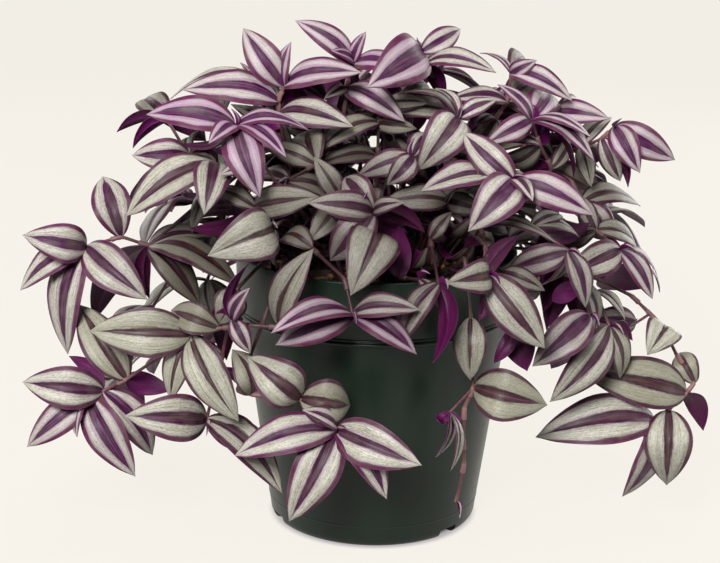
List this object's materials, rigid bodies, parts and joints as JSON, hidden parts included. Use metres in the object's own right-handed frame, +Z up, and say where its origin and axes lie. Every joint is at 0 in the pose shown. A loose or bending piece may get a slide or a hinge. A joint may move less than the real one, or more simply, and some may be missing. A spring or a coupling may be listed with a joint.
{
  "type": "potted tradescantia",
  "caption": "Bushy trailing tradescantia house plant with striped silver and purple leaves, growing from potting mix in a round dark green nursery pot.",
  "frame": {"origin": "middle of the pot's flat underside, where it stands", "axes": "+Z up along the pot's axis, +X along the plant's longest spread, -Y is the front that the picture shows"},
  "size_m": [0.3664, 0.2621, 0.273],
  "materials": {
    "pot_plastic": "moulded plastic with a soft sheen",
    "potting_mix": "coarse, damp and matt",
    "foliage": "satin leaf, silver bands on purple"
  },
  "bodies": {
    "root": {"pot": "pot_plastic", "soil": "potting_mix", "stem_back_high_1": "foliage", "stem_back_high_2": "foliage", "stem_back_high_3": "foliage", "stem_back_high_4": "foliage", "stem_back_low_1": "foliage", "stem_back_low_2": "foliage", "stem_back_low_3": "foliage", "stem_back_low_4": "foliage", "stem_back_low_5": "foliage", "stem_back_low_6": "foliage", "stem_back_middle_1": "foliage", "stem_back_middle_2": "foliage", "stem_back_middle_3": "foliage", "stem_back_middle_4": "foliage", "stem_back_middle_5": "foliage", "stem_centre": "foliage", "stem_centre_back": "foliage", "stem_centre_left": "foliage", "stem_centre_right": "foliage", "stem_centre_right_back": "foliage", "stem_centre_small": "foliage", "stem_front_low": "foliage", "stem_front_middle": "foliage", "stem_front_right_hanging": "foliage", "stem_front_rim": "foliage", "stem_left_centre": "foliage", "stem_left_front_high": "foliage", "stem_left_high": "foliage", "stem_left_low": "foliage", "stem_left_low_middle": "foliage", "stem_left_upper": "foliage", "stem_right_front": "foliage", "stem_right_low_middle": "foliage", "stem_right_middle": "foliage", "stem_right_middle_low": "foliage", "stem_right_rim_dark": "foliage", "stem_right_rim_hanging": "foliage", "stem_right_rosette": "foliage", "stem_right_top": "foliage", "stem_right_top_far": "foliage", "stem_right_top_middle": "foliage", "stem_right_trailing": "foliage", "stem_right_upper_back": "foliage", "stem_top_centre": "foliage", "stem_top_centre_right": "foliage", "stem_top_left": "foliage", "stem_top_middle": "foliage", "stem_top_right": "foliage"}
  },
  "joints": []
}
